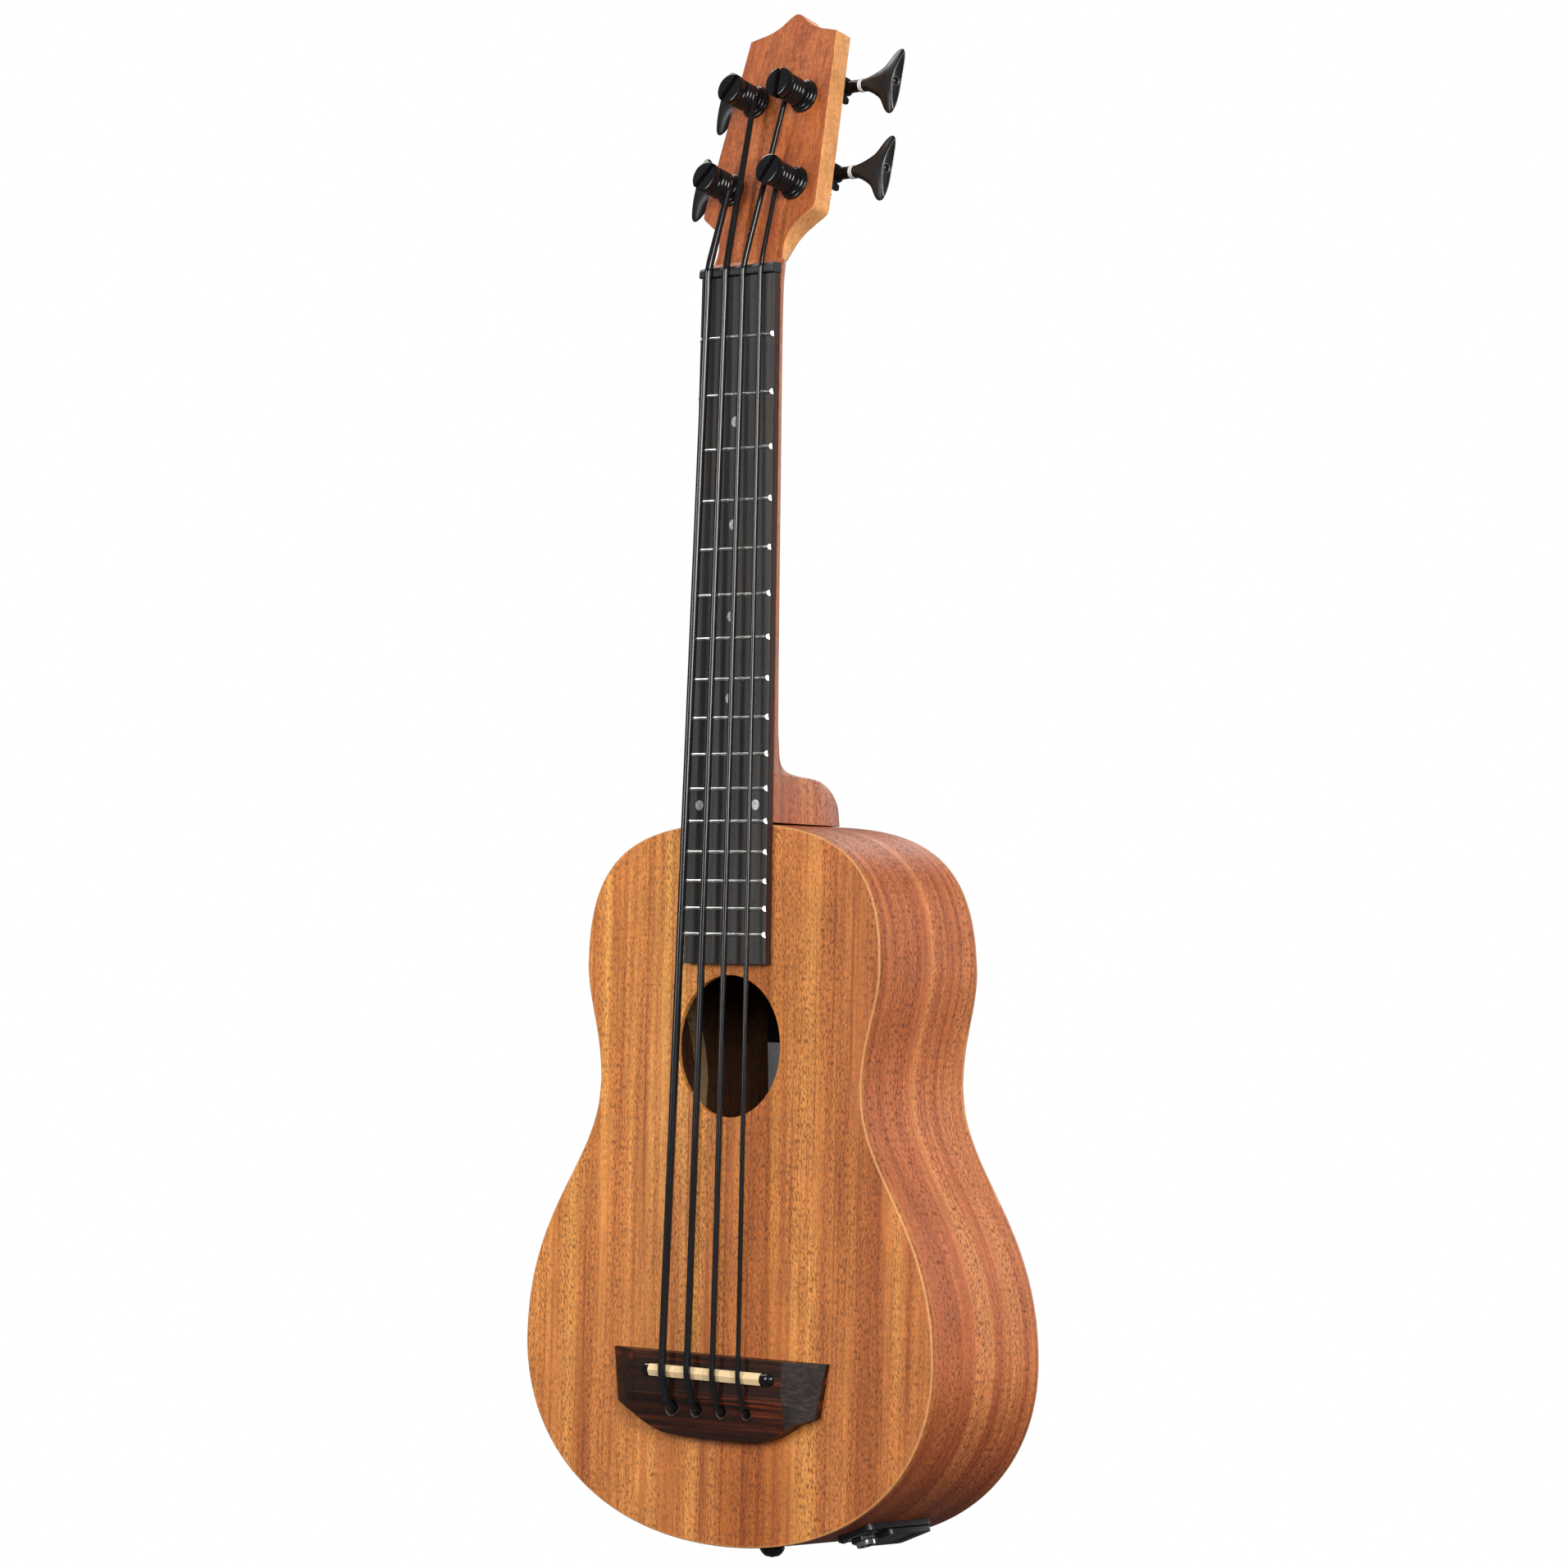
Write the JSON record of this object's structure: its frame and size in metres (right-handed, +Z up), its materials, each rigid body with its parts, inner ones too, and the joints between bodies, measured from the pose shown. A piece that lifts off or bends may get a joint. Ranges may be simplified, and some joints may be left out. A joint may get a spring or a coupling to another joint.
{
  "type": "bass ukulele",
  "caption": "Short-scale acoustic-electric bass ukulele with a hollow mahogany body, thick rubber strings on geared tuners, a bridge pickup, output jack and battery drawer.",
  "frame": {"origin": "on the centre line at the nut's front edge, on the fingerboard's playing surface", "axes": "+Z runs up the neck to the headstock; the front with the strings faces -Y; +X is the treble side"},
  "size_m": [0.272, 0.0965, 0.7525],
  "materials": {
    "mahogany_top": "satin open-pore",
    "mahogany_body": "satin open-pore",
    "mahogany_neck": "satin open-pore",
    "spruce": "raw",
    "board": "oiled",
    "rosewood": "oiled",
    "nut_black": "satin",
    "fret_wire": "polished",
    "ivory": "satin",
    "string_rubber": "satin",
    "tuner_black": "gloss",
    "black_plastic": "satin",
    "nickel": "polished",
    "battery_case": "painted"
  },
  "bodies": {
    "instrument": {"soundboard": "mahogany_top", "back_plate": "mahogany_body", "rib_bass": "mahogany_body", "rib_treble": "mahogany_body", "neck_block": "mahogany_body", "tail_block": "mahogany_body", "lining_top": "spruce", "lining_back": "spruce", "top_brace_upper": "spruce", "top_brace_lower": "spruce", "back_brace": "spruce", "bridge_patch": "spruce", "neck": "mahogany_neck", "fingerboard": "board", "nut": "nut_black", "fret_01": "fret_wire", "fret_02": "fret_wire", "fret_03": "fret_wire", "fret_04": "fret_wire", "fret_05": "fret_wire", "fret_06": "fret_wire", "fret_07": "fret_wire", "fret_08": "fret_wire", "fret_09": "fret_wire", "fret_10": "fret_wire", "fret_11": "fret_wire", "fret_12": "fret_wire", "fret_13": "fret_wire", "fret_14": "fret_wire", "fret_15": "fret_wire", "fret_16": "fret_wire", "bridge": "rosewood", "saddle": "ivory", "saddle_tray": "black_plastic", "pickup_strip": "nickel", "string_e": "string_rubber", "string_a": "string_rubber", "string_d": "string_rubber", "string_g": "string_rubber", "tuner_housing_e": "tuner_black", "tuner_housing_a": "tuner_black", "tuner_housing_d": "tuner_black", "tuner_housing_g": "tuner_black", "strap_button": "tuner_black", "jack_plate": "black_plastic", "output_jack": "nickel", "preamp_panel": "black_plastic"},
    "tuner_key_e": {"tuner_key_e": "tuner_black"},
    "tuner_key_a": {"tuner_key_a": "tuner_black"},
    "tuner_key_d": {"tuner_key_d": "tuner_black"},
    "tuner_key_g": {"tuner_key_g": "tuner_black"},
    "tuner_post_e": {"tuner_post_e": "tuner_black"},
    "tuner_post_a": {"tuner_post_a": "tuner_black"},
    "tuner_post_d": {"tuner_post_d": "tuner_black"},
    "tuner_post_g": {"tuner_post_g": "tuner_black"},
    "battery_drawer": {"battery_drawer": "black_plastic", "battery": "battery_case"},
    "volume_knob": {"volume_knob": "black_plastic"},
    "tone_knob": {"tone_knob": "black_plastic"},
    "tuner_button": {"tuner_button": "black_plastic"}
  },
  "joints": [
    {"name": "tuner_key_e_turn", "type": "hinge", "parent": "instrument", "child": "tuner_key_e", "pos_m": [-0.0213, 0.03648, 0.0512], "axis": [1, 0, 0], "continuous": true},
    {"name": "tuner_key_a_turn", "type": "hinge", "parent": "instrument", "child": "tuner_key_a", "pos_m": [-0.0162, 0.04749, 0.09534], "axis": [1, 0, 0], "continuous": true},
    {"name": "tuner_key_d_turn", "type": "hinge", "parent": "instrument", "child": "tuner_key_d", "pos_m": [0.0162, 0.04749, 0.09534], "axis": [1, 0, 0], "continuous": true},
    {"name": "tuner_key_g_turn", "type": "hinge", "parent": "instrument", "child": "tuner_key_g", "pos_m": [0.0213, 0.03648, 0.0512], "axis": [1, 0, 0], "continuous": true},
    {"name": "tuner_post_e_turn", "type": "hinge", "parent": "instrument", "child": "tuner_post_e", "pos_m": [-0.0213, 0.03382, 0.04052], "axis": [0, -0.9703, 0.2419], "continuous": true},
    {"name": "tuner_post_a_turn", "type": "hinge", "parent": "instrument", "child": "tuner_post_a", "pos_m": [-0.0162, 0.04482, 0.08467], "axis": [0, -0.9703, 0.2419], "continuous": true},
    {"name": "tuner_post_d_turn", "type": "hinge", "parent": "instrument", "child": "tuner_post_d", "pos_m": [0.0162, 0.04482, 0.08467], "axis": [0, -0.9703, 0.2419], "continuous": true},
    {"name": "tuner_post_g_turn", "type": "hinge", "parent": "instrument", "child": "tuner_post_g", "pos_m": [0.0213, 0.03382, 0.04052], "axis": [0, -0.9703, 0.2419], "continuous": true},
    {"name": "battery_drawer_slide", "type": "slide", "parent": "instrument", "child": "battery_drawer", "axis": [0.3665, 0, -0.9304], "range_m": [0, 0.05]},
    {"name": "volume_knob_turn", "type": "hinge", "parent": "instrument", "child": "volume_knob", "pos_m": [-0.098, 0.038, -0.32], "axis": [-1, 0, 0], "range_deg": [-150, 150]},
    {"name": "tone_knob_turn", "type": "hinge", "parent": "instrument", "child": "tone_knob", "pos_m": [-0.098, 0.038, -0.346], "axis": [-1, 0, 0], "range_deg": [-150, 150]},
    {"name": "tuner_button_press", "type": "slide", "parent": "instrument", "child": "tuner_button", "axis": [1, 0, 0], "range_m": [0, 0.001], "stiffness_N_per_m": 400, "springref_m": -0.0005}
  ],
  "couplings": [
    {"joint": "tuner_post_e_turn", "follows": "tuner_key_e_turn", "ratio": -0.05},
    {"joint": "tuner_post_a_turn", "follows": "tuner_key_a_turn", "ratio": -0.05},
    {"joint": "tuner_post_d_turn", "follows": "tuner_key_d_turn", "ratio": 0.05},
    {"joint": "tuner_post_g_turn", "follows": "tuner_key_g_turn", "ratio": 0.05}
  ]
}
